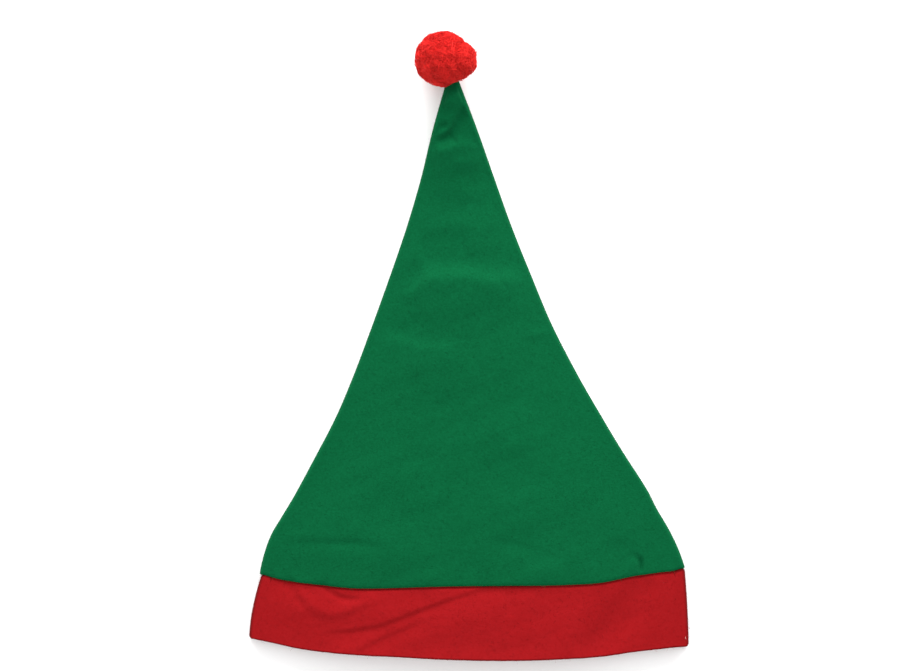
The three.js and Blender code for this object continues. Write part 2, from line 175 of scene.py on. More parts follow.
def unit(vectors):
    return vectors / np.linalg.norm(vectors, axis=-1, keepdims=True)


def mix(low, high, share):
    return low + (high - low) * share


# 0 up to low, 1 from high on; between them, three squares less two cubes of the share
def smoothStep(low, high, at):
    t = np.clip((at - low) / (high - low), 0, 1)
    return t * t * (3 - 2 * t)


# Between two rows of a table: a cubic. Its slope at a row is that from the row before to the next.
def tableValue(table, key, column, at):
    x, y = np.array(table[key], float), np.array(table[column], float)
    slope = np.empty_like(y)
    slope[1:-1] = (y[2:] - y[:-2]) / (x[2:] - x[:-2])
    slope[0] = (y[1] - y[0]) / (x[1] - x[0])
    slope[-1] = (y[-1] - y[-2]) / (x[-1] - x[-2])
    at = np.clip(at, x[0], x[-1])
    row = np.clip(np.searchsorted(x, at, side="right") - 1, 0, len(x) - 2)
    length = x[row + 1] - x[row]
    t = (at - x[row]) / length
    leaving = t * (1 - t) ** 2 * slope[row] * length
    arriving = t * t * (t - 1) * slope[row + 1] * length
    return mix(y[row], y[row + 1], t * t * (3 - 2 * t)) + leaving + arriving


# The band flares out from the seam to the hem, fastest under the seam.
def flareAt(height):
    return 1 - np.clip(1 + height, 0, 1) ** hatPlan["flareBend"]


# The hat's middle line: straight from the seam to the leaning tip, and to the hem with the flare
def axisAt(height):
    return np.where(height > 0, hatPlan["tipLean"] * height, hatPlan["hemShift"] * flareAt(height))


# Half the flat width on one side: a table's share for the crown, the flare for the band
def halfWidthAt(height, side):
    left = tableValue(crownOutline, "height", "left", height)
    right = tableValue(crownOutline, "height", "right", height)
    crown = mix(hatPlan["tipWidth"] / 2, hatPlan["seamWidth"] / 2, np.where(side < 0, left, right))
    band = mix(hatPlan["seamWidth"] / 2, hatPlan["mouthWidth"] / 2, flareAt(height))
    return np.where(height > 0, crown, band)


# A place in the plan: across its half width, and up between the seam's curve and the tip or the hem
def planPoint(across, height):
    x = axisAt(height) + across * halfWidthAt(height, across)
    seam = hatPlan["seamRise"] * tableValue(edgeCurves, "across", "seam", across)
    hemShare = tableValue(edgeCurves, "across", "hem", across)
    hem = hatPlan["hemRise"] * hemShare - hatPlan["bandHeight"]
    y = np.where(height > 0, mix(seam, hatPlan["crownHeight"], height), mix(seam, hem, -height))
    return np.stack([x, y], axis=-1)


# The tip lifts off the table by a smooth step over the crown's last stretch.
def liftAt(height):
    tipLift = hatPlan["tipMiddle"] - hatPlan["turnHeight"]
    start = 1 - hatPlan["tipRise"] / hatPlan["crownHeight"]
    return tipLift * smoothStep(start, 1, height)


# Points on a smooth curve through the given ones, so many to a span. Each span is a cubic, and its
# slope at a point is half the way from the point before to the next.
def smoothCurve(points, spanSteps=6):
    ends = np.concatenate([2 * points[:1] - points[1:2], points, 2 * points[-1:] - points[-2:-1]])
    t = np.linspace(0, 1, spanSteps, endpoint=False)[:, None]
    spans = []
    for before, start, stop, after in zip(ends, ends[1:], ends[2:], ends[3:]):
        slopeIn, slopeOut = (stop - before) / 2, (after - start) / 2
        bend = mix(start, stop, t * t * (3 - 2 * t))
        spans.append(bend + t * (1 - t) ** 2 * slopeIn + t * t * (t - 1) * slopeOut)
    return np.concatenate([*spans, points[-1:]])


# One fold: a bell across its curve, which falls with the square of the distance and is left out
# beyond three widths, times one less the fourth power of the way from the curve's middle to its end
def foldAt(fold, plan):
    places, left, right, rise = fold
    curve = smoothCurve(np.array([planPoint(*place) for place in places]))
    spans = curve[1:] - curve[:-1]
    lengths = np.linalg.norm(spans, axis=1)
    starts = np.concatenate([[0], np.cumsum(lengths)[:-1]])
    reach = 3 * millimetre * max(left, right)
    near = ((plan > curve.min(axis=0) - reach) & (plan < curve.max(axis=0) + reach)).all(axis=-1)
    offset = plan[near][:, None] - curve[:-1]
    along = np.clip((offset * spans).sum(axis=-1) / lengths**2, 0, 1)
    away = offset - along[..., None] * spans
    distance = np.linalg.norm(away, axis=-1)
    nearest = distance.argmin(axis=1)
    pick = np.arange(len(nearest)), nearest
    span, out = spans[nearest], offset[pick]
    leftward = span[:, 0] * out[:, 1] - span[:, 1] * out[:, 0] > 0
    share = (starts[nearest] + along[pick] * lengths[nearest]) / lengths.sum()
    width = millimetre * np.where(leftward, left, right)
    height = np.zeros(plan.shape[:-1])
    fade = 1 - (2 * share - 1) ** 4
    height[near] = millimetre * rise * fade * np.exp(-((distance[pick] / width) ** 2))
    return height


# A sum of plane waves with random directions, phases and lengths near the one given, divided by
# the root of half their number, which makes the mean of its square one
def ripples(x, y, waveLength, seed, waves=16):
    draw = np.random.default_rng(seed)
    angles = draw.uniform(0, 2 * np.pi, waves)
    phases = draw.uniform(0, 2 * np.pi, waves)
    turns = 2 * np.pi / (waveLength * draw.uniform(0.7, 1.4, waves))
    field = 0
    for angle, phase, turn in zip(angles, phases, turns):
        field = field + np.sin(turn * (x * np.cos(angle) + y * np.sin(angle)) + phase)
    return field / np.sqrt(waves / 2)


# The felt's soft unevenness: heights and wave lengths
feltRipples = {"broad": (0.00022, 0.045), "middle": (0.00009, 0.016), "fine": (0.00003, 0.005)}


# Height of the front layer over its shoulders: a puff that is flat at them, folds and ripples
def reliefAt(station, height, plan):
    puff = hatPlan["mouthPuff"] * tableValue(puffProfile, "height", "puff", height)
    puff = puff * (1 - station**2) ** hatPlan["puffBend"]
    uneven = sum(foldAt(fold, plan) for fold in folds)
    for seed, (rise, waveLength) in enumerate(feltRipples.values()):
        uneven = uneven + rise * ripples(plan[..., 0], plan[..., 1], waveLength, seed)
    return puff + uneven * (1 - station ** hatPlan["foldFade"])


# The hat's outer skin. The station runs across a layer: from -1 to 1 between its shoulders, on to 2
# round half a circle to the side seam, and on to 3 straight in along the felt turned inside.
def skinPoint(layer, station, height):
    side = np.where(station < 0, -1, 1)
    reach = np.abs(station)
    half = halfWidthAt(height, side)
    radius = hatPlan["turnHeight"] / 2
    shoulder = half - radius - (hatPlan["backProud"] if layer == "front" else 0)
    turn = np.pi * np.clip(reach - 1, 0, 1)
    turnedIn = np.minimum(hatPlan["sideAllowance"], hatPlan["allowanceShare"] * shoulder)
    turnedIn = turnedIn * np.maximum(reach - 2, 0)
    plan = planPoint(side * shoulder * np.minimum(reach, 1) / half, height)
    x = plan[..., 0] + side * (radius * np.sin(turn) - turnedIn)
    rolled = radius * (1 - np.cos(turn))
    risen = smoothStep(hatPlan["cornerStart"], -1, height)
    plan[..., 1] += hatPlan["cornerRound"] * (1 - np.cos(turn)) * risen
    if layer == "back":
        z = liftAt(height) + rolled
    else:
        top = 2 * hatPlan["turnHeight"] + hatPlan["clearance"]
        z = liftAt(height) + top - rolled + reliefAt(np.clip(station, -1, 1), height, plan)
    return np.stack([x + planShift[0], plan[..., 1] + planShift[1], z + 0 * x], axis=-1)


# Both faces of the felt over a grid of the skin: under it by a depth, and by the felt's thickness
# more, along the normal that the grid's own rows and columns give
def feltFaces(layer, station, height, depth):
    skin = skinPoint(layer, station, height)
    normal = unit(np.cross(np.gradient(skin, axis=1), np.gradient(skin, axis=0)))
    return skin - normal * depth[..., None], skin - normal * (depth + hatPlan["felt"])[..., None]


# An object of points and faces. Each set of faces is an array with a column for each corner.
def meshObject(name, points, *faceSets):
    mesh = bpy.data.meshes.new(name)
    corners = np.concatenate([faces.ravel() for faces in faceSets])
    sizes = np.concatenate([np.full(len(faces), faces.shape[1]) for faces in faceSets])
    mesh.vertices.add(len(points))
    mesh.vertices.foreach_set("co", np.ascontiguousarray(points, dtype=np.float32).ravel())
    mesh.loops.add(len(corners))
    mesh.loops.foreach_set("vertex_index", corners.astype(np.int32))
    mesh.polygons.add(len(sizes))
    mesh.polygons.foreach_set("loop_start", (np.cumsum(sizes) - sizes).astype(np.int32))
    mesh.polygons.foreach_set("use_smooth", np.ones(len(sizes), bool))
    mesh.update(calc_edges=True)
    made = bpy.data.objects.new(name, mesh)
    bpy.context.scene.collection.objects.link(made)
    return made


def pointAttribute(made, name, values):
    layer = made.data.attributes.new(name, "FLOAT", "POINT")
    layer.data.foreach_set("value", values.astype(np.float32))


# How far a cut edge bulges, as a share of half the felt's thickness, and the steps round it
cutEdge = {"bulge": 0.35, "steps": 4}
edgeReach = cutEdge["bulge"] * hatPlan["felt"] / 2


# A closed shell between two grids of points. Its edge goes from face to face by a half turn's
# cosine and bulges by the square root of its sine. An attribute called edge, the mask for painted
# shade on the rims, is 1 there, and rim on the grids.
def feltShell(name, outer, inner, rim):
    rows, columns = outer.shape[:2]
    grid = np.arange(rows * columns).reshape(rows, columns)
    border = np.concatenate([grid[0, :-1], grid[:-1, -1], grid[-1, :0:-1], grid[:0:-1, 0]])
    outerPoints, innerPoints = outer.reshape(-1, 3), inner.reshape(-1, 3)
    middle = (outerPoints[border] + innerPoints[border]) / 2
    through = outerPoints[border] - middle
    along = np.roll(middle, -1, axis=0) - np.roll(middle, 1, axis=0)
    halfThick = np.linalg.norm(through, axis=1, keepdims=True)
    outward = unit(np.cross(along, through)) * halfThick * cutEdge["bulge"]
    angles = np.pi * np.arange(1, cutEdge["steps"]) / cutEdge["steps"]
    rings = [middle + through * np.cos(angle) + outward * np.sqrt(np.sin(angle))
             for angle in angles]
    points = np.concatenate([outerPoints, innerPoints, *rings])
    count, start = len(border), 2 * rows * columns
    between = [start + count * n + np.arange(count) for n in range(len(rings))]
    loops = [border, *between, border + rows * columns]
    squares = grid[:-1, :-1], grid[:-1, 1:], grid[1:, 1:], grid[1:, :-1]
    cells = np.stack(squares, axis=-1).reshape(-1, 4)
    faces = [cells, cells[:, ::-1] + rows * columns]
    for near, far in zip(loops, loops[1:]):
        faces.append(np.stack([near, far, np.roll(far, -1), np.roll(near, -1)], axis=-1))
    made = meshObject(name + "_felt", points, *faces)
    onEdge = np.ones(count * len(rings))
    pointAttribute(made, "edge", np.concatenate([rim.ravel(), rim.ravel(), onEdge]))
    return made


# Stations from one turned edge to the other, evenly spaced on the flat and on each turn
def stationsAcross(layer, flatSteps, rollSteps=8, turnedSteps=3):
    roll = np.linspace(1, 2, rollSteps + 1)
    turned = np.linspace(2, hatPlan["turnedEnd"], turnedSteps + 1)[1:]
    right = np.concatenate([roll, turned])
    stations = np.concatenate([-right[::-1], np.linspace(-1, 1, flatSteps + 1)[1:-1], right])
    return stations if layer == "front" else stations[::-1]


# Each felt piece: steps across its flat and up its height
feltPieces = {
    "crown_front": {"layer": "front", "across": 196, "up": 214},
    "crown_back": {"layer": "back", "across": 60, "up": 90},
    "band_front": {"layer": "front", "across": 210, "up": 52},
    "band_back": {"layer": "back", "across": 60, "up": 24},
}
feltSkins = {}


# Where the rims' painted shade sets in: stations at the sides, heights at the hem
rimFade = {"side": (1, 1.35), "hem": (-1, -0.98)}


# Mask for the rims' painted shade: 1 round the rolled side edges and along the hem, 0 away from
# them
def rimAt(station, height):
    side = smoothStep(*rimFade["side"], np.abs(station))
    return np.maximum(side, 1 - smoothStep(*rimFade["hem"], height))


# The crown's outer face sinks by this much along the seam, where felt is pressed thin.
seamPress = {"depth": 0.0002, "length": 0.0022}


# A crown panel from just above the seam, where its cut edge bulges down to it, up to the tip
def crownPanel(name):
    size = feltPieces[name]
    edgeBulge = edgeReach / hatPlan["crownHeight"]
    share = np.linspace(0, 1, size["up"] + 1)
    heights = edgeBulge + (1 - edgeBulge) * share
    station, height = np.meshgrid(stationsAcross(size["layer"], size["across"]), heights)
    outer, inner = feltFaces(size["layer"], station, height, 0 * height)
    pressed = 1 - smoothStep(0, seamPress["length"] / hatPlan["crownHeight"], height)
    outer = mix(outer, inner, (pressed * seamPress["depth"] / hatPlan["felt"])[..., None])
    feltSkins[name] = outer
    return feltShell(name, outer, inner, rimAt(station, height))


# How the band's top meets the crown: at its two ends, and with a lap between them
bandTop = {
    "gapShare": 0.3,  # of the clearance, left under the crown's edge
    "lapEnds": (0.955, 0.975),  # stations between which the lap ends
    "bodyShare": 0.85,  # of the steps up, below the seam where the lap is
    "steepFrom": (-0.02, -0.04),  # height where the short dip starts, at the ends and the lap
    "rampShare": 0.5,  # of the long dip, where the lap is
    "endDip": 0.4,  # of the lap's, at the ends
    # Painted shade at the band's top ends, where they meet the crown's corners:
    "darkHeights": (-0.045, -0.02),  # between which the ends turn dark
    "darkStations": (0.95, 0.97),
    "darkness": 1.5,  # of the ends, where a rim's is 1
}


# The band dips under the crown's felt below the seam, and its lap ends short of the shoulders.
def bandStrip(name):
    size = feltPieces[name]
    seamGap = bandTop["gapShare"] * hatPlan["clearance"] / hatPlan["bandHeight"]
    rampStart = hatPlan["lapRamp"] / hatPlan["bandHeight"]
    edgeRound = edgeReach / hatPlan["bandHeight"]
    lapTop = hatPlan["bandLap"] / hatPlan["crownHeight"]
    stations = stationsAcross(size["layer"], size["across"])
    station, share = np.meshgrid(stations, np.linspace(0, 1, size["up"] + 1))
    inLap = 1 - smoothStep(*bandTop["lapEnds"], np.abs(station))
    topHeight = mix(-seamGap - edgeRound, lapTop, inLap)
    bodyShare = mix(1, bandTop["bodyShare"], inLap)
    inBody = np.minimum(share / bodyShare, 1)
    aboveBody = np.maximum(share - bodyShare, 0) / np.maximum(1 - bodyShare, 1e-6)
    body = mix(edgeRound - 1, -seamGap - edgeRound, inBody)
    height = body + (topHeight + seamGap + edgeRound) * aboveBody
    steep = smoothStep(mix(*bandTop["steepFrom"], inLap) - edgeRound, -seamGap, height)
    ramp = smoothStep(-rampStart, -seamGap, height)
    dip = mix(steep, ramp, bandTop["rampShare"] * inLap)
    depth = (hatPlan["felt"] + hatPlan["clearance"]) * dip * mix(bandTop["endDip"], 1, inLap)
    outer, inner = feltFaces(size["layer"], station, height, depth)
    feltSkins[name] = outer
    # Painted shade at the ends of the band's top, added to the rim mask
    atEnd = smoothStep(*bandTop["darkStations"], np.abs(station))
    dark = bandTop["darkness"] * (smoothStep(*bandTop["darkHeights"], height) * atEnd)
    return feltShell(name, outer, inner, np.maximum(rimAt(station, height), dark))


strandSides = 3
offLine = (0.31, -0.17, 0.23)  # added to a direction to get another beside it


# Thin strands along paths, an array of strand by point by place. Their radius at each point is a
# share of their own, and an attribute called shade is set at every corner.
def strandMesh(name, paths, radius, shares, shade):
    strands, steps = paths.shape[:2]
    along = unit(np.gradient(paths, axis=1))
    aside = unit(np.cross(along, np.roll(along, 1, axis=2) + offLine))
    up = np.cross(along, aside)
    angles = 2 * np.pi * np.arange(strandSides)[:, None] / strandSides
    spokes = np.cos(angles) * aside[:, :, None] + np.sin(angles) * up[:, :, None]
    points = paths[:, :, None] + spokes * (radius[:, None] * shares)[:, :, None, None]
    index = np.arange(strands * steps * strandSides).reshape(strands, steps, strandSides)
    near, far = index[:, :-1], index[:, 1:]
    sides = np.stack([near, np.roll(near, -1, axis=2), np.roll(far, -1, axis=2), far], axis=-1)
    ends = np.concatenate([index[:, 0, ::-1], index[:, -1]])
    made = meshObject(name, points.reshape(-1, 3), sides.reshape(-1, 4), ends)
    pointAttribute(made, "shade", np.repeat(shade.ravel(), strandSides))
    return made


# A node with its settings. Each input is linked to the socket given for it, or set to the value.
def addNode(tree, kind, inputs=None, **settings):
    made = tree.nodes.new(kind)
    for key, value in settings.items():
        setattr(made, key, value)
    for key, value in (inputs or {}).items():
        if isinstance(value, bpy.types.NodeSocket):
            tree.links.new(value, made.inputs[key])
        else:
            made.inputs[key].default_value = value
    return made


def newMaterial(name):
    material = bpy.data.materials.new(name)
    material.use_nodes = True
    material.node_tree.nodes.clear()
    return material, material.node_tree


def mixTones(tree, share, first, second):
    inputs = {"Factor": share, "A": first, "B": second}
    return addNode(tree, "ShaderNodeMix", inputs, data_type="RGBA").outputs["Result"]


def dimmed(tone, share):
    return tuple(share * part for part in tone[:3]) + (1,)


feltGrain = {
    "cloudScale": 70,
    "mottleScale": 850,
    "hairScale": 1800,
    "hairTurns": (0.3, -0.35, 1.9),  # ways that the hairs lie, about +Z
    "hairStretch": 0.16,  # scale along them, where the scale across them is 1
    "cloudShare": 0.12,  # of the clouds in the mottle
    "hairShade": 0.4,  # share of the hairs in the shade
    "hairHeight": 0.55,  # and in the height
}


# Felt's grain: clouds, a mottle and hairs that lie three ways. Shade and Height lie around 0.5.
def makeFeltGrain():
    group = bpy.data.node_groups.new("feltGrain", "ShaderNodeTree")
    group.interface.new_socket("Vector", in_out="INPUT", socket_type="NodeSocketVector")
    for name, scale in (("Mottle Scale", "mottleScale"), ("Hair Scale", "hairScale")):
        socket = group.interface.new_socket(name, in_out="INPUT", socket_type="NodeSocketFloat")
        socket.default_value = feltGrain[scale]
    for name in ("Shade", "Height"):
        group.interface.new_socket(name, in_out="OUTPUT", socket_type="NodeSocketFloat")
    given = group.nodes.new("NodeGroupInput").outputs
    cloud = addNode(group, "ShaderNodeTexNoise", {
        "Vector": given["Vector"], "Scale": feltGrain["cloudScale"], "Detail": 2,
    })
    mottle = addNode(group, "ShaderNodeTexNoise", {
        "Vector": given["Vector"], "Scale": given["Mottle Scale"], "Detail": 3, "Roughness": 0.6,
    })
    hairs = []
    for turn in feltGrain["hairTurns"]:
        laid = addNode(group, "ShaderNodeMapping", {
            "Vector": given["Vector"], "Rotation": (0, 0, turn),
            "Scale": (feltGrain["hairStretch"], 1, 1),
        })
        hairs.append(addNode(group, "ShaderNodeTexNoise", {
            "Vector": laid.outputs[0], "Scale": given["Hair Scale"], "Detail": 2, "Distortion": 0.4,
        }).outputs[0])
    pair = addNode(group, "ShaderNodeMath", {0: hairs[0], 1: hairs[1]}, operation="MAXIMUM")
    hair = addNode(group, "ShaderNodeMath", {0: pair.outputs[0], 1: hairs[2]}, operation="MAXIMUM")
    soft = addNode(group, "ShaderNodeMix", {
        "Factor": feltGrain["cloudShare"], "A": mottle.outputs[0], "B": cloud.outputs[0],
    })
    shade = addNode(group, "ShaderNodeMix", {
        "Factor": feltGrain["hairShade"], "A": soft.outputs[0], "B": hair.outputs[0],
    })
    height = addNode(group, "ShaderNodeMix", {
        "Factor": feltGrain["hairHeight"], "A": mottle.outputs[0], "B": hair.outputs[0],
    })
    addNode(group, "NodeGroupOutput", {"Shade": shade.outputs[0], "Height": height.outputs[0]})
    return group


# Tones between which the grain lies, the sheen's tone, and how dark the rims' painted shade is
feltLooks = {
    "green_felt": {
        "dark": (0.0006, 0.0655, 0.0200, 1), "light": (0.0016, 0.0875, 0.0298, 1),
        "sheen": (0.25, 0.9, 0.5, 1), "rim": 0,
    },
    "red_felt": {
        "dark": (0.233, 0.0042, 0.0056, 1), "light": (0.254, 0.0065, 0.0087, 1),
        "sheen": (1, 0.3, 0.3, 1), "rim": 0.62,
    },
}
# How dark the rims' painted shade gets
rimTone = 0.2  # of the darker tone


def feltMaterial(slot, grain):
    look = feltLooks[slot]
    material, tree = newMaterial(slot)
    place = addNode(tree, "ShaderNodeTexCoord")
    felt = addNode(tree, "ShaderNodeGroup", node_tree=grain)
    tree.links.new(place.outputs["Object"], felt.inputs["Vector"])
    span = addNode(tree, "ShaderNodeMapRange", {
        "Value": felt.outputs["Shade"], "From Min": 0.4, "From Max": 0.66,
    })
    tone = mixTones(tree, span.outputs[0], look["dark"], look["light"])
    # Painted shade on the rims: where the edge attribute is set, the tone mixes towards a dimmed
    # dark tone
    edge = addNode(tree, "ShaderNodeAttribute", attribute_name="edge")
    rimShade = addNode(tree, "ShaderNodeMath", {0: edge.outputs["Fac"], 1: look["rim"]},
                   operation="MULTIPLY")
    shaded = mixTones(tree, rimShade.outputs[0], tone, dimmed(look["dark"], rimTone))
    bump = addNode(tree, "ShaderNodeBump", {
        "Height": felt.outputs["Height"], "Strength": 0.3, "Distance": 0.0005,
    })
    shader = addNode(tree, "ShaderNodeBsdfPrincipled", {
        "Roughness": 0.95, "Specular IOR Level": 0.035,
        "Sheen Weight": 0.045, "Sheen Roughness": 0.5, "Sheen Tint": look["sheen"],
        "Base Color": shaded, "Normal": bump.outputs["Normal"],
    })
    addNode(tree, "ShaderNodeOutputMaterial", {"Surface": shader.outputs[0]})
    return material


# A piece with its material, on the root body, in the place of the nodes named
def finish(piece, material, slot, *nodes):
    piece.data.materials.clear()
    piece.data.materials.append(material)
    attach(piece, "root")
    if nodes:
        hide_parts(*nodes)
    return piece


yarnLook = {
    "dark": (0.46, 0.002, 0.002, 1),
    "light": (0.78, 0.024, 0.020, 1),
    "sheen": (1, 0.35, 0.3, 1),
    "speckle": 0.15,  # how far noise moves the tone between them
}


# Yarn takes its tone from each strand's shade attribute, with a little noise along it. That
# attribute holds random tone, painted shade towards the roots and core, and painted light on the
# crown's side.
def yarnMaterial():
    material, tree = newMaterial("red_yarn")
    strand = addNode(tree, "ShaderNodeAttribute", attribute_name="shade")
    place = addNode(tree, "ShaderNodeTexCoord")
    speckle = addNode(tree, "ShaderNodeTexNoise", {
        "Vector": place.outputs["Object"], "Scale": 2500, "Detail": 2,
    })
    spread = addNode(tree, "ShaderNodeMapRange", {
        "Value": speckle.outputs[0], "To Min": -yarnLook["speckle"], "To Max": yarnLook["speckle"],
    })
    share = addNode(tree, "ShaderNodeMath", {0: strand.outputs["Fac"], 1: spread.outputs[0]},
                    operation="ADD", use_clamp=True)
    tone = mixTones(tree, share.outputs[0], yarnLook["dark"], yarnLook["light"])
    bump = addNode(tree, "ShaderNodeBump", {
        "Height": speckle.outputs[0], "Strength": 0.3, "Distance": 0.0003,
    })
    shader = addNode(tree, "ShaderNodeBsdfPrincipled", {
        "Roughness": 0.85, "Specular IOR Level": 0.14,
        "Sheen Weight": 0.05, "Sheen Roughness": 0.5, "Sheen Tint": yarnLook["sheen"],
        "Base Color": tone, "Normal": bump.outputs["Normal"],
    })
    addNode(tree, "ShaderNodeOutputMaterial", {"Surface": shader.outputs[0]})
    return material


grain = makeFeltGrain()
greenFelt = feltMaterial("green_felt", grain)
redFelt = feltMaterial("red_felt", grain)
print("felt materials made")

crownFront = finish(crownPanel("crown_front"), greenFelt, "green_felt", "crown_front")
crownBack = finish(crownPanel("crown_back"), greenFelt, "green_felt", "crown_back")
bandFront = finish(bandStrip("band_front"), redFelt, "red_felt", "band_front")
bandBack = finish(bandStrip("band_back"), redFelt, "red_felt", "band_back")
print("felt panels made")


# Hairs on a felt face. They root evenly over the skin, lie along it any way at all, arch off it
# and bend sideways.
feltHairs = {
    "count": {"crown_front": 7000, "crown_back": 2500, "band_front": 3200, "band_back": 1200},
    "radius": 0.000028,
    "length": (0.0012, 0.0032),
    "arch": (0.03, 0.22),  # height of a hair as a share of its length
    "archTurn": 2.4,  # of the sine that it follows, in radians
    "bend": 0.35,
    "rootDepth": 0.0001,
    "thickness": (0.7, 1.5),  # least and most share of the radius
    "taper": np.array([1, 1, 0.8, 0.3]),
}


def feltFuzz(name, seed):
    skin = feltSkins[name]
    draw = np.random.default_rng(seed)
    count = feltHairs["count"][name]
    across, up = np.gradient(skin, axis=1), np.gradient(skin, axis=0)
    normal = np.cross(across, up)
    area = np.linalg.norm(normal, axis=-1).ravel()
    pick = draw.choice(area.size, count, p=area / area.sum())
    across, up, normal = (part.reshape(-1, 3)[pick] for part in (across, up, unit(normal)))
    offset = draw.uniform(-0.5, 0.5, (2, count, 1))
    root = skin.reshape(-1, 3)[pick] + offset[0] * across + offset[1] * up
    root = root - feltHairs["rootDepth"] * normal
    first = unit(across)
    turn = draw.uniform(0, 2 * np.pi, (count, 1))
    heading = np.cos(turn) * first + np.sin(turn) * np.cross(normal, first)
    aside = np.cross(normal, heading)
    length = draw.uniform(*feltHairs["length"], (count, 1, 1))
    arch = draw.uniform(*feltHairs["arch"], (count, 1, 1))
    bend = draw.normal(0, feltHairs["bend"], (count, 1, 1))
    steps = len(feltHairs["taper"])
    t = np.linspace(0, 1, steps)[None, :, None]
    rise = arch * np.sin(feltHairs["archTurn"] * t)
    lie = t * heading[:, None] + bend * t**2 * aside[:, None] + rise * normal[:, None]
    paths = root[:, None] + length * lie
    paths[..., 2] = np.maximum(paths[..., 2], feltHairs["rootDepth"])
    radius = feltHairs["radius"] * draw.uniform(*feltHairs["thickness"], count)
    return strandMesh(name + "_fuzz", paths, radius, feltHairs["taper"], np.ones((count, steps)))


crownFrontFuzz = finish(feltFuzz("crown_front", 11), greenFelt, "green_felt")
crownBackFuzz = finish(feltFuzz("crown_back", 12), greenFelt, "green_felt")
bandFrontFuzz = finish(feltFuzz("band_front", 13), redFelt, "red_felt")
bandBackFuzz = finish(feltFuzz("band_back", 14), redFelt, "red_felt")

print("felt hairs made")

# The pompom: two balls of brushed yarn grown together
pompom = {
    "shift": -0.0049,  # its middle beside the tip
    "tipTuck": 0.0082,  # depth of the tip in it
    "width": 0.0405,
    "tableGap": 0.0002,
    "strandGap": 0.0003,  # least height of a strand
    "ball": (-0.0014, 0.0006, 0, 0.0184),  # beside, up the hat from and above the middle, radius
    "lobe": (0.0079, 0.0002, 0.0030, 0.0130),
    "parting": (0.0011, 0.0012),  # depth and half width of the groove between them
    "partingUp": (0.2, 0.7),  # where it sets in on the way up
    "partingFar": (0.3, 0.6),  # and away from the crown
    "partingNear": (0, -0.5),  # where it fades to nearShare
    "nearShare": 0.3,
    "blend": 0.0005,
    "dents": (  # direction, half width in radians and depth
        ((-0.5, -0.86, 0), 0.32, 0.001),
        ((0.3, -0.93, 0.2), 0.26, 0.0015),
    ),
    "lumps": (0.0002, 0.009),  # rise and wave length of its uneven outline
    # Painted light: the yarn is lighter on the crown's side, which faces away from the key lamp
    "crownSidePaintedLight": 0.3,  # how much lighter the yarn is on the crown's side
}
pompomMiddle = np.array([
    planShift[0] + hatPlan["tipLean"] + pompom["shift"],
    planShift[1] + hatPlan["crownHeight"] - pompom["tipTuck"] + pompom["width"] / 2,
    pompom["ball"][3] + pompom["tableGap"],
])
tipPlace = np.array([
    planShift[0] + hatPlan["tipLean"],
    planShift[1] + hatPlan["crownHeight"],
    hatPlan["tipMiddle"],
])


# The plane's ripples taken through space: across and up, both slid by a share of the height
def ripplesThrough(points, slide, waveLength, seed):
    x, y, z = points[..., 0], points[..., 1], points[..., 2]
    return ripples(x + slide[0] * z, y + slide[1] * z, waveLength, seed)


# Reach from the middle in a direction: out to the farther of the two balls' surfaces, softly
# blended and uneven, less the dents and a groove where both are as far
def yarnReach(direction):
    reaches = []
    for x, y, z, radius in (pompom["ball"], pompom["lobe"]):
        beside = direction @ np.array([x, y, z])
        reaches.append(beside + np.sqrt(beside**2 - x * x - y * y - z * z + radius**2))
    apart = np.abs(reaches[0] - reaches[1])
    depth, width = pompom["parting"]
    away, up = direction[..., 1], direction[..., 2]
    seen = np.maximum(smoothStep(*pompom["partingUp"], up), smoothStep(*pompom["partingFar"], away))
    seen = seen * mix(1, pompom["nearShare"], smoothStep(*pompom["partingNear"], away))
    groove = depth * np.exp(-((apart / width) ** 2)) * seen
    blend = pompom["blend"] * np.log1p(np.exp(-apart / pompom["blend"]))
    rise, waveLength = pompom["lumps"]
    spread = pompom["width"] / 2 * direction
    uneven = rise * ripplesThrough(spread, (0.6, -0.5), waveLength, 30)
    for towards, halfWidth, sunk in pompom["dents"]:
        angle = np.arccos(np.clip(direction @ unit(np.array(towards)), -1, 1))
        uneven = uneven - sunk * np.exp(-((angle / halfWidth) ** 2))
    return np.maximum(*reaches) + blend - groove + uneven


# A smooth random vector for each point, from three such ripples
def swirlAt(points, waveLength, seed):
    parts = [ripplesThrough(points, (0.7, -0.6), waveLength, seed + n) for n in range(3)]
    return np.stack(parts, axis=-1)


yarnCore = {
    "rows": 60, "columns": 96,
    "reach": 0.90,  # share of the yarn's
    "humps": (0.0003, 0.018, 0.005),  # rise, radius they are laid out on, wave length
    "socket": 0.0128,  # reach where the tip enters
    "socketAngles": (0.42, 0.62),  # from the tip's direction, between which that ends
    # Painted shade: the core, seen between the tufts, is darker than the strands
    "shade": 0.4,
}


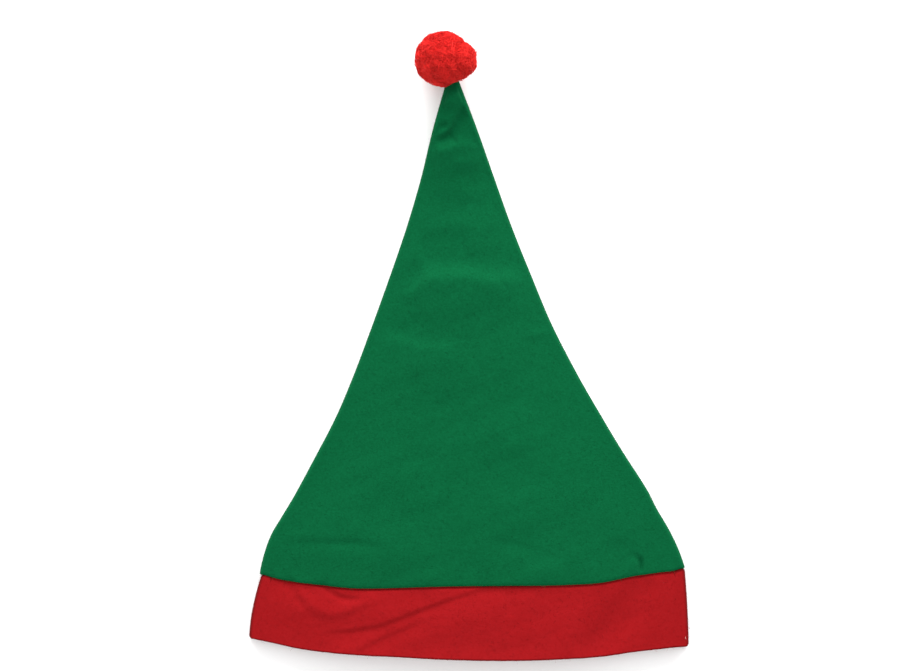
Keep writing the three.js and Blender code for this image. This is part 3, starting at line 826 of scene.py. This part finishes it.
# The core under the strands: the yarn's reach cut down, in low humps, with a hollow for the tip
def pompomCore():
    rows, columns = yarnCore["rows"], yarnCore["columns"]
    polar = np.linspace(0, np.pi, rows + 1)[1:-1, None]
    turn = np.linspace(0, 2 * np.pi, columns, endpoint=False)[None]
    x, y, z = np.sin(polar) * np.cos(turn), np.sin(polar) * np.sin(turn), np.cos(polar) + 0 * turn
    direction = np.stack([x, y, z], axis=-1).reshape(-1, 3)
    direction = np.concatenate([direction, [(0, 0, 1), (0, 0, -1)]])
    reach = yarnCore["reach"] * yarnReach(direction)
    rise, radius, waveLength = yarnCore["humps"]
    reach = reach + rise * ripples(*(direction[:, :2] * radius).T, waveLength, 40)
    fromTip = np.arccos(np.clip(direction @ unit(tipPlace - pompomMiddle), -1, 1))
    inSocket = 1 - smoothStep(*yarnCore["socketAngles"], fromTip)
    reach = mix(reach, np.minimum(reach, yarnCore["socket"]), inSocket)
    grid = np.arange((rows - 1) * columns).reshape(rows - 1, columns)
    beyond = np.roll(grid, -1, axis=1)
    sides = np.stack([grid[:-1], grid[1:], beyond[1:], beyond[:-1]], axis=-1).reshape(-1, 4)
    top = np.stack([grid[0], beyond[0], 0 * grid[0] + grid.size], axis=-1)
    low = np.stack([beyond[-1], grid[-1], 0 * grid[-1] + grid.size + 1], axis=-1)
    made = meshObject("pompom_core", pompomMiddle + direction * reach[:, None], sides, top, low)
    pointAttribute(made, "shade", np.full(len(direction), yarnCore["shade"]))
    return made


# True where a point lies in the crown's tip, grown by a margin
def inTip(points, margin):
    height = (points[..., 1] - planShift[1]) / hatPlan["crownHeight"]
    beside = points[..., 0] - planShift[0] - axisAt(height)
    half = halfWidthAt(np.clip(height, 0.5, 1), beside) + margin
    above = points[..., 2] - liftAt(height)
    thick = 2 * hatPlan["turnHeight"] + hatPlan["clearance"]
    within = (np.abs(beside) < half) & (above > -margin) & (above < thick + margin)
    return within & (height < 1 + margin / hatPlan["crownHeight"])


# True for each strand that stays clear of the tip by a margin, and over the table
def strandsClear(paths, margin):
    overTable = paths[..., 2].min(axis=1) > pompom["strandGap"]
    return ~inTip(paths, margin).any(axis=1) & overTable


yarnTufts = {
    "tufts": 950,
    "strands": 7,  # in a tuft
    "radius": 0.00023,
    "thickness": (0.8, 1.3),  # least and most share of the radius
    "taper": np.array([1, 1, 0.95, 0.8, 0.35]),
    "scatter": (0.03, 0.032),  # of the tufts, of the strands in one
    "lean": 0.34,  # sideways run of a tuft, as a share of the reach
    "leanParts": (0.6, 0.5, 0.25),  # of the swirl, the tuft and the strand
    "leanBend": 1.4,  # power of the lean's growth along a strand
    "swirl": (0.018, 0.012),  # radius it is laid out on, wave length
    "curl": 0.00042,
    "curlTurns": (3, 7),  # in radians, from root to top
    "rootDepth": 0.06,  # in the core, as a share of the reach
    "topSpread": 0.02,
    "tuftSpread": 0.017,  # by which tufts fall short
    "topLimit": 1.05,
    "tipGap": 0.0004,
    "tone": (0.66, 0.06, 0.08),  # middle, spread of the tufts, spread in a tuft
    # Painted shade: strands darker towards their roots, deep in the pompom
    "shades": np.array([0.8, 0.87, 0.94, 1, 1.05]),  # from root to top
}


# Strands in tufts, which start evenly on a ball, each turned by the golden angle from the last.
# A strand leans the tuft's way as it runs outwards, by a sine's first quarter, and curls in a helix
# that widens from its root.
def pompomStrands():
    look = yarnTufts
    draw = np.random.default_rng(7)
    n = np.arange(look["tufts"])
    z = 1 - (2 * n + 1) / len(n)
    turn = n * np.pi * (3 - np.sqrt(5))
    ring = np.sqrt(1 - z * z)
    tufts = np.stack([ring * np.cos(turn), ring * np.sin(turn), z], axis=-1)
    tufts = unit(tufts + draw.normal(0, look["scatter"][0], tufts.shape))
    radius, waveLength = look["swirl"]
    swirled, ofTuft, ofStrand = look["leanParts"]
    leans = swirlAt(tufts * radius, waveLength, 60) * swirled + draw.normal(0, ofTuft, tufts.shape)
    leans = leans - tufts * (leans * tufts).sum(axis=1, keepdims=True)
    each = np.repeat(n, look["strands"])
    count = len(each)
    direction = unit(tufts[each] + draw.normal(0, look["scatter"][1], (count, 3)))
    lean = look["lean"] * (leans[each] + draw.normal(0, ofStrand, (count, 3)))
    t = np.linspace(0, 1, len(look["taper"]))[None, :, None]
    heading = unit(direction[:, None] + lean[:, None] * t ** look["leanBend"])
    tops = draw.normal(1, look["topSpread"], count)
    tops = tops - look["tuftSpread"] * np.abs(draw.normal(0, 1, look["tufts"]))[each]
    tops = np.minimum(tops, look["topLimit"])[:, None]
    share = mix(yarnCore["reach"] - look["rootDepth"], tops, np.sin(np.pi / 2 * t[..., 0]))
    paths = pompomMiddle + heading * (yarnReach(heading) * share)[..., None]
    phase = draw.uniform(0, 2 * np.pi, (count, 1))
    phase = phase + t[..., 0] * draw.uniform(*look["curlTurns"], (count, 1))
    first = unit(np.cross(direction, leans[each] + (0.1, 0.2, 0.3)))
    second = np.cross(direction, first)
    helix = np.cos(phase)[..., None] * first[:, None] + np.sin(phase)[..., None] * second[:, None]
    paths = paths + look["curl"] * t * helix
    clear = strandsClear(paths, look["tipGap"])
    radius = look["radius"] * draw.uniform(*look["thickness"], count)
    middle, ofTuft, ofStrand = look["tone"]
    tone = draw.normal(middle, ofTuft, look["tufts"])[each] + draw.normal(0, ofStrand, count)
    # Painted light on the crown's side of the pompom
    tone = tone - pompom["crownSidePaintedLight"] * direction[:, 1]
    shade = tone[:, None] * look["shades"]
    return strandMesh("pompom_yarn", paths[clear], radius[clear], look["taper"], shade[clear])


yarnHairs = {
    "count": 6600,
    "radius": 0.00009,
    "thickness": (0.7, 1.4),  # least and most share of the radius
    "taper": np.array([0.4, 1, 1, 1, 0.4]),
    "length": (0.1, 0.34),  # as a share of the reach
    "bend": 1.1,
    "bendMiddle": 0.1,  # keeps a bent hair over its place
    "reach": (0.93, 0.995),  # of its ends, as a share of the yarn's
    "arch": (0, 0.12),
    "tipGap": 0.0003,
    "tone": (0.74, 0.14),  # middle and spread
}


# Fine hairs that lie over the tufts any way at all. They bend sideways and rise in their middles,
# both with the square of the way from the middle.
def pompomFuzz():
    look = yarnHairs
    draw = np.random.default_rng(9)
    count, steps = look["count"], len(look["taper"])
    direction = unit(draw.normal(0, 1, (count, 3)))
    run = unit(np.cross(direction, draw.normal(0, 1, (count, 3))))
    aside = np.cross(direction, run)
    length = draw.uniform(*look["length"], (count, 1, 1))
    bend = draw.normal(0, look["bend"], (count, 1, 1))
    t = np.linspace(-0.5, 0.5, steps)[None, :, None]
    bent = bend * (t * t - look["bendMiddle"])
    heading = unit(direction[:, None] + length * (t * run[:, None] + bent * aside[:, None]))
    share = draw.uniform(*look["reach"], (count, 1))
    share = share + draw.uniform(*look["arch"], (count, 1)) * (0.25 - t[..., 0] ** 2)
    paths = pompomMiddle + heading * (yarnReach(heading) * share)[..., None]
    clear = strandsClear(paths, look["tipGap"])
    radius = look["radius"] * draw.uniform(*look["thickness"], count)
    # Painted light on the crown's side of the pompom
    tone = draw.normal(*look["tone"], (count, 1)) - pompom["crownSidePaintedLight"] * direction[:, 1:2]
    shade = tone * np.ones(steps)
    return strandMesh("pompom_fuzz", paths[clear], radius[clear], look["taper"], shade[clear])


redYarn = yarnMaterial()
finish(pompomCore(), redYarn, "red_yarn", "pompom")
pompomYarn = finish(pompomStrands(), redYarn, "red_yarn", "pompom")
finish(pompomFuzz(), redYarn, "red_yarn", "pompom")
print("pompom made,", len(pompomYarn.data.polygons), "faces of yarn")

# A pale end of sewing thread by the band's right corner, and a loose fibre at its edge
threadEnds = {
    "pale_thread": {
        "across": 1.1, "height": -0.90, "radius": 0.0002, "length": 0.0017,
        "turn": 1.75, "tone": (0.80, 0.36, 0.31, 1),
    },
    "loose_fibre": {
        "across": 1.4, "height": -0.76, "radius": 0.00014, "length": 0.0018,
        "turn": -0.5, "tone": (0.42, 0.03, 0.06, 1),
    },
}
# Both wind sideways and rise by a sine: its share of the length and its turn in radians
threadBend = {"aside": (0.25, 3), "up": (0.16, 3.1)}
threadTaper = np.array([0.8, 1, 1, 1, 0.9, 0.8, 0.6])
twistTone = 0.7  # of the thread's own


def threadEnd(name):
    row = threadEnds[name]
    root = skinPoint("front", np.array(row["across"]), np.array(row["height"]))
    t = np.linspace(0, 1, len(threadTaper))[:, None]
    heading = np.array([np.cos(row["turn"]), np.sin(row["turn"]), 0])
    aside = np.array([-heading[1], heading[0], 0])
    (sideShare, sideTurn), (upShare, upTurn) = threadBend["aside"], threadBend["up"]
    wound = sideShare * np.sin(sideTurn * t) * aside + upShare * np.sin(upTurn * t) * (0, 0, 1)
    path = root + row["length"] * (t * heading + wound)
    path[:, 2] += row["radius"]
    radius, shade = np.array([row["radius"]]), np.ones((1, len(t)))
    made = strandMesh(name, path[None], radius, threadTaper, shade)
    thread = bpy.data.materials.new(name)
    thread.use_nodes = True
    tree = thread.node_tree
    place = addNode(tree, "ShaderNodeTexCoord")
    twist = addNode(tree, "ShaderNodeTexNoise", {"Vector": place.outputs["Object"], "Scale": 4000})
    tone = mixTones(tree, twist.outputs[0], row["tone"], dimmed(row["tone"], twistTone))
    shader = tree.nodes["Principled BSDF"]
    tree.links.new(tone, shader.inputs["Base Color"])
    shader.inputs["Roughness"].default_value = 0.7
    finish(made, thread, "red_felt")


for name in threadEnds:
    threadEnd(name)


# The photo's view: straight down on the hat, in a frame of 900 by 671
studio = {
    "cameraAt": (-0.0153, 0.1655, 2.8066),  # from the middle of the plan's seam
    "lens": 170,
    "skyStrength": 1.14,
    "keyEnergy": 108,
    "keyAt": (0.12, 1.9, 0.74),
    "keySize": (3.2, 1.2),
    "floorSize": 4,
    "floorTone": (0.96, 0.96, 0.96, 1),
}


def makeStudio():
    scene = bpy.context.scene
    scene.view_settings.view_transform = "Standard"
    camera = bpy.data.cameras.new("camera")
    camera.lens = studio["lens"]
    camera.clip_end = 50
    cameraObject = bpy.data.objects.new("camera", camera)
    x, y, z = studio["cameraAt"]
    cameraObject.location = (planShift[0] + x, planShift[1] + y, z)
    scene.collection.objects.link(cameraObject)
    scene.camera = cameraObject
    world = bpy.data.worlds.new("studio")
    world.use_nodes = True
    sky = world.node_tree.nodes["Background"]
    sky.inputs["Color"].default_value = (1, 1, 1, 1)
    sky.inputs["Strength"].default_value = studio["skyStrength"]
    scene.world = world
    key = bpy.data.lights.new("key", "AREA")
    key.energy = studio["keyEnergy"]
    key.shape = "RECTANGLE"
    key.size, key.size_y = studio["keySize"]
    keyObject = bpy.data.objects.new("key", key)
    keyObject.location = studio["keyAt"]
    keyObject.rotation_euler = (-keyObject.location).to_track_quat("-Z", "Y").to_euler()
    scene.collection.objects.link(keyObject)
    half = studio["floorSize"] / 2
    corners = np.array([(-half, -half, 0), (half, -half, 0), (half, half, 0), (-half, half, 0)])
    floor = meshObject("floor", corners, np.array([[0, 1, 2, 3]]))
    paper = bpy.data.materials.new("paper")
    paper.use_nodes = True
    shader = paper.node_tree.nodes["Principled BSDF"]
    shader.inputs["Base Color"].default_value = studio["floorTone"]
    shader.inputs["Roughness"].default_value = 0.9
    floor.data.materials.append(paper)


makeStudio()
print("studio made")
